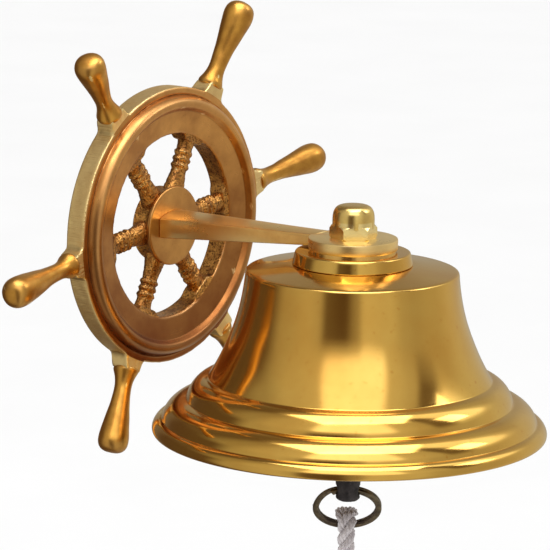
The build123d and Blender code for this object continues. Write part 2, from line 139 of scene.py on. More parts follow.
def turned(name, section, at, axis=UP, out=SIDE_X, steps=96):
    """A piece turned on a lathe: its section is drawn by extruding from one point, as
    (radius, height) from a place on the axis, and spun round the axis."""

    def place(radius, height):
        return at + (out * radius + axis * height) * MM

    piece = primitive("plane", name, size=MM, location=place(*section[0]))
    bpy.ops.object.mode_set(mode="EDIT")
    bpy.ops.mesh.select_mode(type="VERT")
    bpy.ops.mesh.select_all(action="SELECT")
    bpy.ops.mesh.merge(type="CENTER")
    for before, after in zip(section, section[1:]):
        bpy.ops.mesh.extrude_vertices_move(
            TRANSFORM_OT_translate={"value": place(*after) - place(*before)}
        )
    bpy.ops.mesh.select_all(action="SELECT")
    bpy.ops.mesh.spin(steps=steps, angle=2 * math.pi, center=at, axis=axis)
    return settle(close_up(piece))


def combine(piece, other, how="UNION"):
    """Two solids made one; the other is used up."""
    modify(piece, "BOOLEAN", operation=how, object=other, solver="EXACT")
    bpy.data.objects.remove(other)
    return piece


def group_of(piece, name, weight):
    """A vertex group whose weight at each point comes from its place."""
    group = piece.vertex_groups.new(name=name)
    for v in piece.data.vertices:
        group.add([v.index], weight(v.co), "REPLACE")
    return group


def roughen(piece, size, strength, group="", depth=3):
    """Real lumps in the surface, of a size and height in millimetres."""
    texture = bpy.data.textures.new(piece.name, "CLOUDS")
    texture.noise_scale, texture.noise_depth = size * MM, depth
    return modify(
        piece,
        "DISPLACE",
        texture=texture,
        texture_coords="LOCAL",
        strength=strength * MM,
        mid_level=0.5,
        vertex_group=group,
    )


def join(name, parts):
    """Several meshes joined into one piece."""
    deselect()
    for part in parts:
        part.select_set(True)
    bpy.context.view_layer.objects.active = parts[0]
    bpy.ops.object.join()
    parts[0].name = parts[0].data.name = name
    return settle(parts[0])


def done(piece, material, slot, body, *nodes, angle=35):
    """A finished piece: smoothed up to an angle, given its material, and put on its body."""
    settle(piece)
    bpy.ops.object.shade_smooth_by_angle(angle=RAD(angle))
    piece.data.materials.clear()
    piece.data.materials.append(material)
    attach(piece, body)
    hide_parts(*nodes)
    return piece


# ---------------------------------------------------------------- shader groups
def shader_group(name, inputs, outputs):
    """A node group with named sockets: inputs are (name, kind, default), and outputs (name,
    kind)."""
    tree = bpy.data.node_groups.new(name, "ShaderNodeTree")
    for label, kind, value in inputs:
        socket = tree.interface.new_socket(label, in_out="INPUT", socket_type=kind)
        if value is not None:
            socket.default_value = value
    for label, kind in outputs:
        tree.interface.new_socket(label, in_out="OUTPUT", socket_type=kind)
    return tree, tree.nodes.new("NodeGroupInput"), tree.nodes.new("NodeGroupOutput")


def node(tree, kind, wires=(), **settings):
    """A node in a tree. wires are (its input, a value or another node's output)."""
    made = tree.nodes.new("ShaderNode" + kind)
    for key, value in settings.items():
        setattr(made, key, value)
    for socket, source in dict(wires).items():
        if isinstance(source, bpy.types.NodeSocket):
            tree.links.new(source, made.inputs[socket])
        else:
            made.inputs[socket].default_value = source
    return made


def maths(tree, operation, *values):
    return node(tree, "Math", dict(enumerate(values)), operation=operation).outputs[0]


def mixed(tree, amount, one, two):
    """Two colours mixed by an amount."""
    return node(tree, "Mix", {0: amount, 6: one, 7: two}, data_type="RGBA").outputs[2]


def spread(tree, value, low, high, to_low=0.0, to_high=1.0):
    """A value stretched from one range to another, and clipped."""
    return node(
        tree,
        "MapRange",
        {0: value, 1: low, 2: high, 3: to_low, 4: to_high},
        clamp=True,
    ).outputs[0]


def turning_group():
    """Fine lines left by a lathe, round the local Z axis."""
    tree, given, out = shader_group(
        "turning marks",
        [("Vector", "NodeSocketVector", None), ("Fineness", "NodeSocketFloat", 1200.0)],
        [("Lines", "NodeSocketFloat"), ("Bands", "NodeSocketFloat")],
    )
    parts = node(tree, "SeparateXYZ", {0: given.outputs["Vector"]})
    x, y, z = parts.outputs
    squares = [maths(tree, "MULTIPLY", side, side) for side in (x, y)]
    radius = maths(tree, "SQRT", maths(tree, "ADD", *squares))
    flat = node(tree, "CombineXYZ", {0: radius, 1: z})
    for label, share, detail in (("Lines", 1.0, 5.0), ("Bands", 0.12, 2.0)):
        size = maths(tree, "MULTIPLY", given.outputs["Fineness"], share)
        stretched = node(tree, "VectorMath", {0: flat.outputs[0], 3: size}, operation="SCALE")
        noise = node(tree, "TexNoise", {"Vector": stretched.outputs[0], "Scale": 1.0, "Detail": detail})
        tree.links.new(noise.outputs[0], out.inputs[label])
    return tree


def casting_group():
    """The skin of a sand casting: grains, and deeper pits between them."""
    tree, given, out = shader_group(
        "cast skin",
        [("Vector", "NodeSocketVector", None), ("Fineness", "NodeSocketFloat", 900.0)],
        [("Height", "NodeSocketFloat"), ("Pits", "NodeSocketFloat")],
    )
    vector = node(
        tree, "VectorMath", {0: given.outputs["Vector"], 3: given.outputs["Fineness"]}, operation="SCALE"
    ).outputs[0]
    grains = node(tree, "TexVoronoi", {"Vector": vector, "Scale": 1.0}, feature="SMOOTH_F1")
    lumps = node(tree, "TexNoise", {"Vector": vector, "Scale": 0.6, "Detail": 4.0, "Roughness": 0.6})
    height = maths(tree, "ADD", maths(tree, "MULTIPLY", grains.outputs[0], -0.6), lumps.outputs[0])
    tree.links.new(height, out.inputs["Height"])
    tree.links.new(spread(tree, height, 0.28, 0.02), out.inputs["Pits"])
    return tree


def ageing_group():
    """Brown patches on brass, and small dark specks."""
    tree, given, out = shader_group(
        "ageing",
        [("Vector", "NodeSocketVector", None), ("Fineness", "NodeSocketFloat", 60.0)],
        [("Patches", "NodeSocketFloat"), ("Specks", "NodeSocketFloat")],
    )
    vector = node(
        tree, "VectorMath", {0: given.outputs["Vector"], 3: given.outputs["Fineness"]}, operation="SCALE"
    ).outputs[0]
    patches = node(tree, "TexNoise", {"Vector": vector, "Scale": 1.0, "Detail": 5.0, "Roughness": 0.55})
    specks = node(tree, "TexNoise", {"Vector": vector, "Scale": 16.0, "Detail": 3.0})
    tree.links.new(spread(tree, patches.outputs[0], 0.36, 0.66), out.inputs["Patches"])
    tree.links.new(spread(tree, specks.outputs[0], 0.66, 0.76), out.inputs["Specks"])
    return tree


def rub_glint_and_shade_group():
    """Masks from how the surface bends: the sharp edges, where rubbing and a painted highlight go, and the
    hollows, where painted shade goes.
    """
    tree, given, out = shader_group(
        "rubbed edges, painted glint and crease shade",
        [("Reach", "NodeSocketFloat", 0.06)],
        [("Edges", "NodeSocketFloat"), ("Hollows", "NodeSocketFloat")],
    )
    bend = node(tree, "NewGeometry").outputs["Pointiness"]
    reach = given.outputs["Reach"]
    off = maths(tree, "DIVIDE", maths(tree, "SUBTRACT", bend, 0.5), reach)
    tree.links.new(spread(tree, off, 0.15, 1.0), out.inputs["Edges"])
    tree.links.new(spread(tree, off, -0.15, -1.0), out.inputs["Hollows"])
    return tree


def grinding_group():
    """Short lines left by a grinder across a wheel's rim, round the local Z axis."""
    tree, given, out = shader_group(
        "grinding lines",
        [("Vector", "NodeSocketVector", None), ("Fineness", "NodeSocketFloat", 40.0)],
        [("Lines", "NodeSocketFloat")],
    )
    parts = node(tree, "SeparateXYZ", {0: given.outputs["Vector"]})
    x, y, z = parts.outputs
    turn = maths(tree, "MULTIPLY", maths(tree, "ARCTAN2", y, x), given.outputs["Fineness"])
    flat = node(tree, "CombineXYZ", {0: turn, 1: maths(tree, "MULTIPLY", z, 60.0)})
    noise = node(tree, "TexNoise", {"Vector": flat.outputs[0], "Scale": 1.0, "Detail": 3.0})
    tree.links.new(noise.outputs[0], out.inputs["Lines"])
    return tree


TURNING, CASTING, AGEING = turning_group(), casting_group(), ageing_group()
RUB_GLINT_AND_SHADE, GRINDING = rub_glint_and_shade_group(), grinding_group()


def colour(red, green, blue):
    """A colour from its usual 0 to 255 numbers."""
    parts = [((v / 255 + 0.055) / 1.055) ** 2.4 if v > 10 else v / 3295 for v in (red, green, blue)]
    return (*parts, 1.0)


def placed(tree, group, at=Vector(), turn=(0, 0, 0), **values):
    """A group in a material, working from the piece's own space, centred and turned."""
    spot = node(tree, "TexCoord").outputs["Object"]
    place = {"Vector": spot, "Location": at, "Rotation": turn}
    centred = node(tree, "Mapping", place, vector_type="TEXTURE")
    made = tree.nodes.new("ShaderNodeGroup")
    made.node_tree = group
    tree.links.new(centred.outputs[0], made.inputs["Vector"])
    for label, value in values.items():
        made.inputs[label.title()].default_value = value
    return made


def plain_group(tree, group, **values):
    made = tree.nodes.new("ShaderNodeGroup")
    made.node_tree = group
    for label, value in values.items():
        made.inputs[label.title()].default_value = value
    return made


def new_material(name, **values):
    material = bpy.data.materials.new(name)
    material.use_nodes = True
    tree = material.node_tree
    shader = tree.nodes["Principled BSDF"]
    for label, value in values.items():
        shader.inputs[label.replace("_", " ").title().replace("Ior", "IOR")].default_value = value
    return material, tree, shader


ROUND_Z = (0, 0, 0)
ROUND_Y = (RAD(90), 0, 0)  # the wheel's axis brought upright


# Brass with turning marks and patches, a painted highlight on its edges, partly rubbed brass, and painted
# shade in its hollows.
def brass(
    name, clean, brown, edge, rough,
    at=Vector(), turn=ROUND_Z, lines=1200.0, line_depth=0.004, line_rough=0.12,
    patches=70.0, patch_share=0.5, bend_reach=0.06, crease_shade=0.8, cast=0.0, cast_size=900.0, grind=0.0, low=0.0,
):  # fmt: skip
    material, tree, shader = new_material(name, metallic=1.0)
    marks = placed(tree, TURNING, at, turn, fineness=lines)
    aged = placed(tree, AGEING, fineness=patches)
    rub_glint_and_shade = plain_group(tree, RUB_GLINT_AND_SHADE, reach=bend_reach)
    share = maths(tree, "MULTIPLY", aged.outputs["Patches"], patch_share)
    base = mixed(tree, share, clean, brown)
    base = mixed(tree, maths(tree, "MULTIPLY", aged.outputs["Specks"], 0.45), base, brown)
    if low:  # browner towards the bottom of the wheel
        fall = node(tree, "SeparateXYZ", {0: node(tree, "TexCoord").outputs["Object"]}).outputs["Z"]
        base = mixed(tree, spread(tree, fall, 0.035, -0.05, 0.0, low), base, colour(112, 50, 22))
    height = maths(tree, "MULTIPLY", marks.outputs["Lines"], line_depth)
    roughness = maths(tree, "ADD", rough, maths(tree, "MULTIPLY", marks.outputs["Lines"], line_rough))
    if cast:
        skin = placed(tree, CASTING, fineness=cast_size)
        base = mixed(tree, maths(tree, "MULTIPLY", skin.outputs["Pits"], 0.85), base, colour(58, 36, 24))
        height = maths(tree, "ADD", height, maths(tree, "MULTIPLY", skin.outputs["Height"], cast))
    if grind:
        cuts = placed(tree, GRINDING, at, turn, fineness=110.0)
        height = maths(tree, "ADD", height, maths(tree, "MULTIPLY", cuts.outputs["Lines"], grind))
    # Painted shade darkens the hollows, and a painted highlight, partly brass rubbed bright, lightens the
    # edges.
    base = mixed(tree, maths(tree, "MULTIPLY", rub_glint_and_shade.outputs["Hollows"], crease_shade), base, colour(66, 38, 22))
    base = mixed(tree, maths(tree, "MULTIPLY", rub_glint_and_shade.outputs["Edges"], 0.75), base, edge)
    roughness = maths(tree, "ADD", roughness, maths(tree, "MULTIPLY", aged.outputs["Patches"], 0.08))
    tree.links.new(base, shader.inputs["Base Color"])
    tree.links.new(roughness, shader.inputs["Roughness"])
    bump = node(tree, "Bump", {"Height": height, "Distance": MM, "Strength": 1.0})
    tree.links.new(bump.outputs[0], shader.inputs["Normal"])
    return material


# PALE, the edge colour of most pieces, is a painted highlight, partly rubbed brass.
YELLOW, PALE = colour(230, 188, 100), colour(255, 232, 170)
bell_brass = brass(
    "polished bell brass", YELLOW, colour(206, 142, 54), PALE, 0.05,
    at=MOUTH, lines=1500.0, line_depth=0.0014, line_rough=0.06, patches=28.0, patch_share=0.45,
)  # fmt: skip
nut_brass = brass(
    "polished nut brass", colour(240, 208, 128), colour(206, 160, 84), PALE, 0.12,
    at=MOUTH, line_depth=0.002, patches=160.0,
)  # fmt: skip
arm_brass = brass(
    "satin arm brass", colour(250, 208, 134), colour(214, 150, 82), PALE, 0.22,
    at=MOUTH, lines=900.0, line_depth=0.005, patches=90.0,
)  # fmt: skip
rim_brass = brass(
    "aged wheel brass", colour(222, 162, 94), colour(138, 82, 46), colour(246, 206, 150), 0.22,
    at=HUB, turn=ROUND_Y, lines=900.0, line_depth=0.004, patches=75.0, patch_share=0.55,
    crease_shade=0.9, low=0.75,
)  # fmt: skip
wall_brass = brass(
    "ground rim brass", colour(250, 220, 158), colour(196, 150, 90), PALE, 0.28,
    at=HUB, turn=ROUND_Y, line_depth=0.001, patches=90.0, grind=0.3,
)  # fmt: skip
hub_brass = brass(
    "hub face brass", colour(212, 156, 90), colour(150, 94, 54), PALE, 0.24,
    at=HUB, turn=ROUND_Y, lines=900.0, line_depth=0.004, patches=90.0, bend_reach=4.0, crease_shade=0.0,
)  # fmt: skip
cast_brass = brass(
    "cast brass", colour(226, 164, 88), colour(132, 78, 40), colour(255, 224, 160), 0.26,
    at=HUB, turn=ROUND_Y, line_depth=0.0, patches=260.0, patch_share=0.8, bend_reach=0.12, crease_shade=1.0,
    cast=0.12, cast_size=1700.0,
)  # fmt: skip
handle_brass = brass(
    "buffed handle brass", colour(218, 162, 76), colour(150, 92, 40), PALE, 0.24,
    at=HUB, turn=ROUND_Y, lines=500.0, line_depth=0.004, patches=120.0, patch_share=0.6,
)  # fmt: skip
hanger_brass = brass(
    "dull hanger brass", colour(196, 154, 88), colour(128, 90, 50), PALE, 0.36, at=MOUTH, patches=150.0,
)  # fmt: skip


def dark_metal(name, base, spots, rough, metallic, grain, depth):
    material, tree, shader = new_material(name, metallic=metallic)
    skin = placed(tree, CASTING, fineness=grain)
    aged = placed(tree, AGEING, fineness=grain / 5)
    rub_glint_and_shade = plain_group(tree, RUB_GLINT_AND_SHADE, reach=0.08)
    tint = mixed(tree, maths(tree, "MULTIPLY", aged.outputs["Patches"], 0.6), base, spots)
    tint = mixed(tree, maths(tree, "MULTIPLY", rub_glint_and_shade.outputs["Edges"], 0.5), tint, spots)
    tree.links.new(tint, shader.inputs["Base Color"])
    roughness = maths(tree, "ADD", rough, maths(tree, "MULTIPLY", skin.outputs["Pits"], 0.2))
    tree.links.new(roughness, shader.inputs["Roughness"])
    height = maths(tree, "MULTIPLY", skin.outputs["Height"], depth)
    bump = node(tree, "Bump", {"Height": height, "Distance": MM, "Strength": 1.0})
    tree.links.new(bump.outputs[0], shader.inputs["Normal"])
    return material


black_iron = dark_metal("black iron", colour(38, 35, 38), colour(78, 72, 74), 0.55, 0.4, 1500.0, 0.12)
ring_steel = dark_metal(
    "dark ring steel", colour(92, 82, 72), colour(150, 136, 112), 0.28, 1.0, 2200.0, 0.03
)
link_steel = dark_metal("link steel", colour(140, 138, 134), colour(104, 98, 90), 0.34, 1.0, 1600.0, 0.03)
screw_steel = dark_metal(
    "screw steel", colour(170, 170, 168), colour(130, 128, 124), 0.3, 1.0, 1800.0, 0.02
)


def cotton(name, light, shade, fibre, fuzz):
    """Soft cotton: fine fibres, and grey painted shade in the hollows."""
    material, tree, shader = new_material(
        name, metallic=0.0, roughness=0.9, sheen_weight=0.35, sheen_roughness=0.6, specular_ior_level=0.2
    )
    spot = node(tree, "TexCoord").outputs["Object"]
    threads = node(tree, "TexNoise", {"Vector": spot, "Scale": fibre, "Detail": 6.0, "Roughness": 0.7})
    soft = node(tree, "TexNoise", {"Vector": spot, "Scale": fibre * 0.12, "Detail": 3.0})
    rub_glint_and_shade = plain_group(tree, RUB_GLINT_AND_SHADE, reach=0.10)
    tint = mixed(tree, spread(tree, soft.outputs[0], 0.35, 0.7), light, shade)
    # Painted shade greys the hollows between the strands.
    tint = mixed(tree, maths(tree, "MULTIPLY", rub_glint_and_shade.outputs["Hollows"], 0.7), tint, colour(128, 118, 118))
    tree.links.new(tint, shader.inputs["Base Color"])
    height = maths(tree, "MULTIPLY", threads.outputs[0], fuzz)
    bump = node(tree, "Bump", {"Height": height, "Distance": MM, "Strength": 1.0})
    tree.links.new(bump.outputs[0], shader.inputs["Normal"])
    return material


rope_cotton = cotton("cotton rope", colour(212, 205, 205), colour(176, 167, 169), 2600.0, 0.35)
twine = cotton("seizing twine", colour(206, 190, 180), colour(176, 152, 140), 3000.0, 0.2)

# ---------------------------------------------------------------- bell
BELL_SECTION = [
    (5.25, 66.3), (5.6, 66.3), (15, 66.3), (24.0, 66.3), (25.0, 66.25), (32, 65.2), (38.8, 64.2),
    (40.1, 63.98), (40.75, 63.7), (41.05, 63.2), (41.12, 62.4), (41.2, 61.0), (41.8, 56.0), (42.9, 50.0),
    (44.6, 43.5), (47.1, 36.8), (50.4, 29.2), (52.9, 24.7), (54.3, 22.45), (54.55, 22.05), (54.75, 21.75),
    (55.15, 21.62), (57.6, 21.1), (60.3, 19.1), (62.2, 16.2), (62.9, 14.1), (63.02, 13.6), (63.1, 13.3),
    (63.5, 13.2), (66.4, 12.7), (69.4, 10.9), (71.5, 8.4), (72.25, 6.3), (72.35, 5.8), (72.45, 5.55),
    (72.85, 5.5), (74.4, 5.0), (75.6, 3.7), (76.2, 2.2), (76.25, 1.2), (76.0, 0.4), (75.4, 0.05),
    (74.6, 0), (72.2, 0), (71.5, 0.2), (66.4, 5.7), (57.6, 13.8), (50.0, 22.1), (45.9, 30.0), (41.2, 42.0),
    (38.6, 52.0), (37.7, 58.6), (37.1, 61.2), (35.8, 62.6), (33.6, 63), (20, 63), (5.6, 63), (5.25, 63),
    (5.25, 63.4), (5.25, 65.9), (5.25, 66.3),
]  # fmt: skip
bell = soften(turned("bell_body_piece", BELL_SECTION, MOUTH, steps=80), 2)
done(bell, bell_brass, "bell_brass", "bracket", "bell_body", angle=50)

collar = turned(
    "collar_piece",
    [(5.25, 66.3), (6, 66.3), (22.4, 66.3), (22.95, 66.35), (23.2, 66.6), (23.15, 67.0), (22.3, 70.6),
     (22.1, 71.1), (21.65, 71.38), (21.1, 71.4), (6, 71.4), (5.25, 71.4), (5.25, 70.9), (5.25, 66.8),
     (5.25, 66.3)],
    MOUTH, steps=72,
)  # fmt: skip
done(soften(collar, 2), bell_brass, "bell_brass", "bracket", "crown_collar", angle=50)

# ---------------------------------------------------------------- arm
EYE_R, EYE_TOP = 17.2, SEAT
EYE_LOW = EYE_TOP - 4.4  # the eye is this thick
eye = turned(
    "arm_piece",
    [(5.3, EYE_LOW), (16.7, EYE_LOW), (17.05, EYE_LOW + 0.15), (EYE_R, EYE_LOW + 0.5),
     (EYE_R, EYE_TOP - 0.5), (17.05, EYE_TOP - 0.15), (16.7, EYE_TOP), (5.3, EYE_TOP), (5.3, EYE_LOW)],
    MOUTH, steps=160,
)  # fmt: skip
# The bar tapers from the hub's face to the eye.
BAR_POINTS = 9
ROOT_AT, NECK_AT = Vector((0, -9.5, 0.3)), Vector((0, -82.0, 4.4))


def bar_section(wide, high, crown):
    """The bar's section: flat sides and an arched top."""
    half = wide / 2
    top = high / 2
    arch = [(0.72, 0.5), (0.38, 0.87), (0.0, 1.0), (-0.38, 0.87), (-0.72, 0.5)]
    return [
        (-half, -top), (half, -top), (half, top),
        *[(half * across, top + crown * rise) for across, rise in arch],
        (-half, top),
    ]  # fmt: skip


root_section, neck_section = bar_section(19.4, 7.8, 2.2), bar_section(11.6, 4.2, 0.4)
bar = primitive("cylinder", "arm_bar", vertices=BAR_POINTS, radius=MM, depth=MM)
for k in range(BAR_POINTS):
    for point, at, section in (
        (bar.data.vertices[2 * k], ROOT_AT, root_section),
        (bar.data.vertices[2 * k + 1], NECK_AT, neck_section),
    ):
        point.co = (at + Vector((section[k][0], 0, section[k][1]))) * MM
settle(close_up(bar))
modify(bar, "BEVEL", width=0.55 * MM, segments=3, limit_method="ANGLE", angle_limit=RAD(50))
arm = combine(eye, bar)
done(arm, arm_brass, "arm_brass", "bracket", "bracket_arm", angle=28)

# ---------------------------------------------------------------- nut
hexagon = primitive(
    "cylinder", "nut_piece", vertices=6, radius=9.24 * MM, depth=5.0 * MM,
    location=MOUTH + UP * (SEAT + 2.5) * MM, rotation=(0, 0, RAD(42)),
)  # fmt: skip
settle(hexagon)
chamfers = turned(
    "nut_chamfers",
    [(0, SEAT - 1), (8.4, SEAT - 1), (8.6, SEAT), (9.4, SEAT + 0.9), (9.4, SEAT + 3.7), (8.3, SEAT + 5.0),
     (8.2, SEAT + 7), (0, SEAT + 7)],
    MOUTH, steps=96,
)  # fmt: skip
combine(hexagon, chamfers, "INTERSECT")
dome = turned(
    "nut_dome",
    [(0, SEAT + 3), (7.6, SEAT + 3), (7.95, SEAT + 3.4), (8.1, SEAT + 4.6), (8.15, SEAT + 7.0),
     (8.05, SEAT + 9.0), (7.65, SEAT + 10.5), (6.9, SEAT + 11.7), (5.8, SEAT + 12.45), (4.4, SEAT + 12.75),
     (2.2, SEAT + 12.85), (0, SEAT + 12.85)],
    MOUTH, steps=48,
)  # fmt: skip
soften(dome, 1)
nut = combine(hexagon, dome)
modify(nut, "BEVEL", width=0.22 * MM, segments=2, limit_method="ANGLE", angle_limit=RAD(28))
done(nut, nut_brass, "nut_brass", "bracket", "acorn_nut", angle=30)

# ---------------------------------------------------------------- wheel
SPOKE_AT = [-23 + 60 * k for k in range(6)]
HANDLE_AT = (-27.5, 36.5, 97.5, 156.5, 217.0, 279.5)
HANDLE_LONG = (35.5, 30.0, 40.0, 33.5, 35.0, 39.0)
RIM_R, HOLE_R, RIM_FACE = 55.0, 36.5, 8.3  # outside, open middle, and where the flat face starts
RIM_SECTION = [
    (36.5, 0), (36.5, 0.5), (36.5, 4), (36.5, 7.4), (36.6, 8.0), (37.1, 8.45), (38, 8.7), (42, 9.3),
    (45.3, 9.75), (45.75, 9.85), (45.95, 10.1), (46.5, 10.9), (46.85, 11.35), (47.1, 11.7), (47.7, 12.1),
    (48.7, 12.3), (49.8, 12.15), (50.7, 11.4), (51.4, 10.2), (51.75, 8.9), (51.85, 8.45), (52.0, 8.1),
    (52.3, 8.2), (52.6, 8.5), (53.4, 8.52), (54.3, 8.5), (54.8, 8.25), (55, 7.8), (55, 5.6), (55, 2.8),
    (55, 0.5), (55, 0), (54.5, 0), (45, 0), (37, 0), (36.5, 0),
]  # fmt: skip
rim = turned("rim_piece", RIM_SECTION, HUB, axis=OUT, steps=180)


def wheel_out(angle):
    """Outwards from the hub at an angle, and along the rim there."""
    a = RAD(angle)
    return Vector((-math.sin(a), 0, math.cos(a))), Vector((math.cos(a), 0, math.sin(a)))


def draw_out(angle, wall_r, half, reach, wide, thick, depth, lean=0.0):
    """Faces of the rim's wall at an angle are extruded in two steps, to a block with a flat end."""
    out, along = wheel_out(angle)
    shape = bmesh.from_edit_mesh(rim.data)
    for f in shape.faces:
        c = f.calc_center_median()
        radial = Vector((c.x, 0, c.z))
        level = abs(f.normal.y) < 0.5 and abs(radial.length - wall_r * MM) < 0.35 * MM
        f.select = bool(level and abs(math.atan2(c.dot(along), c.dot(out))) * wall_r < half)
    shape.select_flush_mode()
    bmesh.update_edit_mesh(rim.data)
    for share in (0.5, 1.0):
        bpy.ops.mesh.extrude_region_move(TRANSFORM_OT_translate={"value": (0, 0, 0)})
        shape = bmesh.from_edit_mesh(rim.data)
        picked = [v for v in shape.verts if v.select]
        ys = [v.co.y for v in picked]
        us = [v.co.dot(along) for v in picked]
        low, high, span = min(ys), max(ys), max(abs(u) for u in us)
        radius = (wall_r + (reach - wall_r) * share) * MM
        for v in picked:
            u = v.co.dot(along) / span
            deep = (v.co.y - (low + high) / 2) / ((high - low) / 2)
            wide_now = (half + (wide / 2 - half) * share) * MM
            thick_now = ((high - low) / MM * (1 - share) + thick * share) * MM
            mid = (low + high) / 2 * (1 - share) - (depth + lean * share) * share * MM
            v.co = out * radius + along * (u * wide_now) + Vector((0, mid + deep * thick_now / 2, 0))
        bmesh.update_edit_mesh(rim.data)


take(rim)
bpy.ops.object.mode_set(mode="EDIT")
bpy.ops.mesh.select_mode(type="FACE")
for angle in HANDLE_AT:
    draw_out(angle, RIM_R, half=5.7, reach=60.0, wide=9.3, thick=8.0, depth=4.7, lean=0.25)
for angle in SPOKE_AT:
    draw_out(angle, HOLE_R, half=6.8, reach=34.2, wide=9.6, thick=6.8, depth=4.2)
bpy.ops.object.mode_set(mode="OBJECT")
soften(rim, 1)
group_of(rim, "skin", lambda p: 1.0 if -RIM_FACE * MM < p.y < -0.5 * MM else 0.0)
roughen(rim, 2.2, 0.3, "skin")
done(rim, rim_brass, "wheel_brass", "bracket", "wheel_rim", angle=40)
rim.data.materials.append(wall_brass)
rim.data.materials.append(cast_brass)
for f in rim.data.polygons:
    c = f.center
    radius = Vector((c.x, c.z)).length / MM
    if radius > RIM_R - 0.3 and c.y > -RIM_FACE * MM or radius > RIM_R + 0.3:
        f.material_index = 1  # the ground wall
    elif radius < HOLE_R + 0.2:
        f.material_index = 2  # the cast feet and inner wall

hub = turned(
    "hub_piece",
    [(0, 9.5), (8, 9.5), (14.9, 9.5), (15.4, 9.42), (15.75, 9.1), (15.8, 8.6), (15.75, 8.0), (15.4, 7.6),
     (14.6, 7.1), (14.2, 6.0), (14.2, 3.4), (14.7, 1.2), (15.0, 0.4), (14.8, 0), (14, 0), (0, 0)],
    HUB, axis=OUT, steps=60,
)  # fmt: skip
soften(hub, 2)
group_of(hub, "skin", lambda p: 1.0 if -8.0 * MM < p.y < -0.5 * MM else 0.0)
roughen(hub, 1.0, 0.75, "skin")
done(hub, hub_brass, "wheel_brass", "bracket", "wheel_hub", angle=40)
hub.data.materials.append(cast_brass)
for f in hub.data.polygons:
    if f.center.y > -7.9 * MM:
        f.material_index = 1

SPOKE_DEPTH = 4.3


def turned_ring(start):
    """The bulge of one ring on a spoke, from where it starts."""
    return [(4.1, start + 0.4), (4.45, start + 1.1), (4.1, start + 1.8)]


for number, angle in enumerate(SPOKE_AT, 1):
    out, along = wheel_out(angle)
    spoke = turned(
        f"spoke_{number}_piece",
        [(0, 12.5), (4.9, 12.5), (5.2, 13.4), (4.8, 15.5), (4.2, 18.0), (3.75, 20.6), (3.55, 22.2),
         (3.5, 22.9), *turned_ring(22.9), (3.6, 25.1), (3.6, 25.6), *turned_ring(25.6), (3.6, 27.8),
         (3.6, 28.3), *turned_ring(28.3), (3.6, 30.6),
         (3.7, 32.6), (4.2, 34.6), (4.8, 36.2), (5.2, 37.4), (5.2, 38.2), (0, 38.2)],
        HUB + OUT * SPOKE_DEPTH * MM, axis=out, out=along, steps=28,
    )  # fmt: skip
    take(spoke)
    bpy.ops.object.mode_set(mode="EDIT")
    bpy.ops.mesh.select_all(action="SELECT")
    bpy.ops.transform.resize(value=(1, 0.74, 1), center_override=HUB + OUT * SPOKE_DEPTH * MM)
    bpy.ops.object.mode_set(mode="OBJECT")
    soften(spoke, 2)
    roughen(spoke, 0.8, 0.6)
    done(spoke, cast_brass, "cast_brass", "bracket", f"spoke_{number}", angle=60)

LUG_R, LUG_DEPTH, LEAN = 60.0, 4.9, RAD(6)  # a handle's foot, and its lean off the wall
for number, (angle, long) in enumerate(zip(HANDLE_AT, HANDLE_LONG), 1):
    out, along = wheel_out(angle)
    axis = out * math.cos(LEAN) + OUT * math.sin(LEAN)
    handle = turned(
        f"handle_{number}_piece",
        [(0, -1.2), (4.4, -1.2), (4.85, -0.9), (5.1, -0.2), (5.05, 0.6), (4.6, 1.6), (3.95, 3.2),
         (3.45, 5.2), (3.3, 7.5), (3.45, long * 0.3), (3.95, long * 0.42), (4.6, long * 0.53),
         (5.25, long * 0.64), (5.85, long * 0.75), (6.15, long * 0.83), (5.95, long * 0.9),
         (4.9, long * 0.96), (2.9, long * 0.993), (0, long)],
        HUB + out * LUG_R * MM + OUT * LUG_DEPTH * MM, axis=axis, out=along, steps=32,
    )  # fmt: skip
    soften(handle, 2)
    roughen(handle, 9.0, 0.45, depth=1)
    done(handle, handle_brass, "handle_brass", "bracket", f"handle_{number}", angle=60)

# ---------------------------------------------------------------- clapper
PIN_AT = MOUTH + UP * 47.4 * MM
TAIL_AT = MOUTH - UP * 22.9 * MM
rod = turned(
    "clapper_rod_piece",
    [(0, 42.4), (2.6, 42.4), (2.7, 41.9), (3.4, 22.0), (3.6, 12), (3.6, -8), (4.5, -9.8), (4.85, -10.6),
     (4.85, -25.0), (4.6, -26.0), (3.8, -26.8), (1.6, -27.25), (0, -27.3)],
    MOUTH, steps=48,
)  # fmt: skip
pin_turn = PIN_DIR.to_track_quat("Z", "Y").to_euler()
rod_eye = primitive(
    "cylinder", "rod_eye", vertices=48, radius=4.2 * MM, depth=4 * MM, location=PIN_AT, rotation=pin_turn,
)  # fmt: skip
neck = primitive(
    "cube", "rod_neck", size=MM, location=PIN_AT - UP * 4 * MM, rotation=(0, 0, PIN_TURN),
    scale=(4, 5.2, 5),
)  # fmt: skip
combine(rod, settle(rod_eye))
combine(rod, settle(neck))
for at, radius in ((PIN_AT, 2.08), (TAIL_AT, 2.4)):
    hole = primitive(
        "cylinder", "hole", vertices=40, radius=radius * MM, depth=14 * MM, location=at, rotation=pin_turn,
    )  # fmt: skip
    combine(rod, settle(hole), "DIFFERENCE")
modify(rod, "REMESH", mode="VOXEL", voxel_size=0.3 * MM)
modify(rod, "SMOOTH", iterations=3, factor=0.5)
group_of(rod, "skin", lambda p: min(1.0, max(0.0, (MOUTH.z + 36 * MM - p.z) / (8 * MM))))
roughen(rod, 1.6, 0.26, "skin")
done(rod, black_iron, "black_iron", "clapper", "clapper_rod", angle=60)

